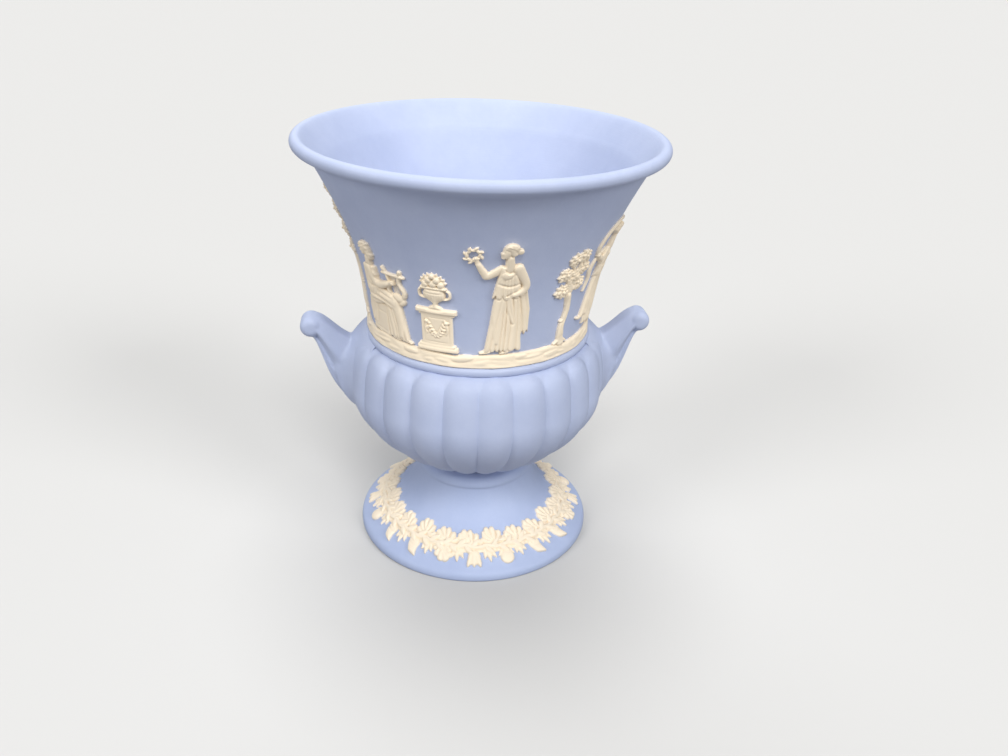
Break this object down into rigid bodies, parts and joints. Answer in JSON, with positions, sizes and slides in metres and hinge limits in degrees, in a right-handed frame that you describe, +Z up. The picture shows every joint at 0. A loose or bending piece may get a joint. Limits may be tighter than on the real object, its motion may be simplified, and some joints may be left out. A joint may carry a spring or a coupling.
{
  "type": "two-handled bell urn",
  "caption": "Small footed bell-shaped urn in matte pale blue stoneware with a gadrooned bowl, scroll handles and white classical reliefs.",
  "frame": {"origin": "centre of the foot ring on its resting plane", "axes": "+Z up along the urn's axis, handles on +X and -X, front of the frieze towards -Y"},
  "size_m": [0.1044, 0.1026, 0.125],
  "materials": {
    "blue_stoneware": "matte unglazed",
    "white_relief": "matte unglazed"
  },
  "bodies": {
    "root": {"foot": "blue_stoneware", "gadrooned_bowl": "blue_stoneware", "bell": "blue_stoneware", "handle_right": "blue_stoneware", "handle_left": "blue_stoneware", "ground_strip_front": "white_relief", "ground_strip_back": "white_relief", "tall_laurel_right": "white_relief", "tall_laurel_left": "white_relief", "low_laurel_front": "white_relief", "low_laurel_back": "white_relief", "lyre_player_front": "white_relief", "lyre_player_back": "white_relief", "vase_pedestal_front": "white_relief", "vase_pedestal_left": "white_relief", "vase_pedestal_right": "white_relief", "wreath_bearer_front": "white_relief", "wreath_bearer_back": "white_relief", "veil_dancer_front": "white_relief", "foot_garland_1": "white_relief", "foot_garland_2": "white_relief", "foot_garland_3": "white_relief", "foot_garland_4": "white_relief"}
  },
  "joints": []
}
